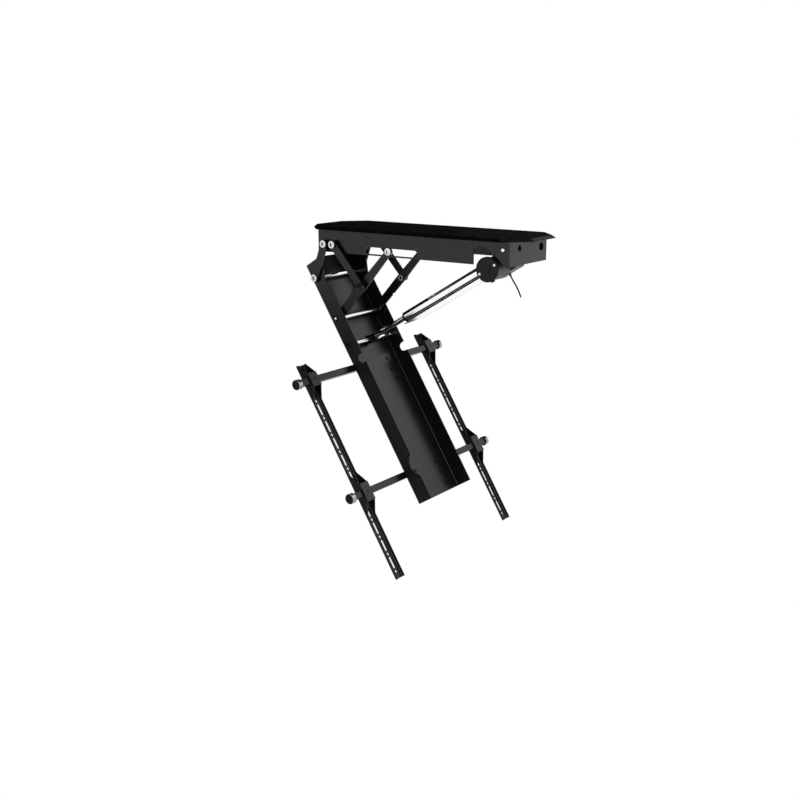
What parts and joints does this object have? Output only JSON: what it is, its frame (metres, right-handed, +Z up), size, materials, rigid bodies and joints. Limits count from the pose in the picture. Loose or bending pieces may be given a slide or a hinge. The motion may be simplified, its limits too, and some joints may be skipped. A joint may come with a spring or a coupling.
{
  "type": "motorized screen ceiling mount",
  "caption": "Motorized drop-down ceiling mount for a flat screen: a linear actuator swings a channel arm with crossbars and slotted rails down from a shallow black housing.",
  "frame": {"origin": "centre of the ceiling bolt pattern, on the ceiling plate's top face at the ceiling", "axes": "+Z up into the ceiling, +X along the housing to the actuator's rear pin, +Y to the side away from the motor's end cap"},
  "size_m": [0.74, 0.709, 0.9316],
  "materials": {
    "powder_black": "satin",
    "bright_steel": "polished",
    "zinc": "satin",
    "dark_steel": "satin",
    "motor_grey": "satin",
    "tube_aluminium": "satin",
    "cap_plastic": "matt",
    "box_plastic": "matt",
    "lead_rubber": "matt",
    "copper": "bright"
  },
  "bodies": {
    "housing": {"ceiling_plate": "powder_black", "housing_top": "powder_black", "housing_side_near": "powder_black", "housing_side_far": "powder_black", "housing_end": "powder_black", "plate_screws": "zinc", "control_box": "box_plastic", "control_box_lid": "box_plastic", "control_box_screws": "zinc", "pivot_shafts": "bright_steel", "pivot_spacers": "dark_steel", "pivot_bolts": "zinc", "rear_pin": "bright_steel", "rear_pin_spacers": "dark_steel"},
    "lift_links": {"lift_link_near": "powder_black", "lift_link_far": "powder_black", "elbow_bolts": "dark_steel", "elbow_washers": "dark_steel", "elbow_nuts": "zinc"},
    "scissor_links": {"scissor_link_near": "powder_black", "scissor_link_far": "powder_black", "slot_bolts": "zinc", "slot_rollers": "zinc", "slot_nuts": "zinc"},
    "front_links": {"front_link_near": "powder_black", "front_link_far": "powder_black", "front_link_bolts": "zinc"},
    "swing_arm": {"swing_arm": "powder_black", "upper_rod": "bright_steel", "lower_rod": "bright_steel", "rod_nuts": "dark_steel", "rod_collars": "dark_steel", "ram_pin_stubs": "bright_steel", "upper_crossbar": "powder_black", "lower_crossbar": "powder_black", "crossbar_caps": "bright_steel", "crossbar_saddles": "powder_black", "saddle_screws": "dark_steel", "rail_clamps": "powder_black", "clamp_screws": "dark_steel", "screen_rail_near": "powder_black", "screen_rail_far": "powder_black"},
    "actuator": {"gearbox": "motor_grey", "gear_cover": "motor_grey", "motor": "motor_grey", "motor_cap": "cap_plastic", "motor_cap_screws": "zinc", "actuator_tube": "tube_aluminium", "tube_front_cap": "dark_steel", "switch_profile": "tube_aluminium", "lead_screw": "zinc", "lead_gland": "cap_plastic", "motor_lead": "lead_rubber", "lead_tip": "copper"},
    "ram": {"ram_rod": "bright_steel", "drive_nut": "cap_plastic", "rod_eye": "dark_steel", "rod_eye_pin": "bright_steel"}
  },
  "joints": [
    {"name": "lift_swing", "type": "hinge", "parent": "housing", "child": "lift_links", "pos_m": [-0.2601, 0, -0.0503], "axis": [0, 1, 0], "range_deg": [-37, 3.5]},
    {"name": "scissor_swing", "type": "hinge", "parent": "lift_links", "child": "scissor_links", "pos_m": [-0.16125, 0, -0.16125], "axis": [0, 1, 0], "range_deg": [-7.29, 76.92]},
    {"name": "arm_swing", "type": "hinge", "parent": "scissor_links", "child": "swing_arm", "pos_m": [-0.25687, 0, -0.26758], "axis": [0, 1, 0], "range_deg": [-95.86, 9.08]},
    {"name": "front_swing", "type": "hinge", "parent": "housing", "child": "front_links", "pos_m": [-0.2919, 0, -0.0503], "axis": [0, 1, 0], "range_deg": [-4.41, 46.5]},
    {"name": "actuator_tilt", "type": "hinge", "parent": "housing", "child": "actuator", "pos_m": [0.3008, 0, -0.0302], "axis": [0, 1, 0], "range_deg": [-2.14, 22.52], "deforming": ["motor_lead", "lead_tip"]},
    {"name": "ram_slide", "type": "slide", "parent": "actuator", "child": "ram", "axis": [-0.8558, 0, -0.5174], "range_m": [-0.12124, 0.01148]}
  ],
  "couplings": [
    {"joint": "scissor_swing", "follows": "lift_swing", "ratio": -2.0785},
    {"joint": "arm_swing", "follows": "lift_swing", "ratio": 2.5905},
    {"joint": "front_swing", "follows": "lift_swing", "ratio": -1.2565},
    {"joint": "actuator_tilt", "follows": "lift_swing", "ratio": -0.60816},
    {"joint": "ram_slide", "follows": "lift_swing", "m_per_rad": 0.18772}
  ]
}
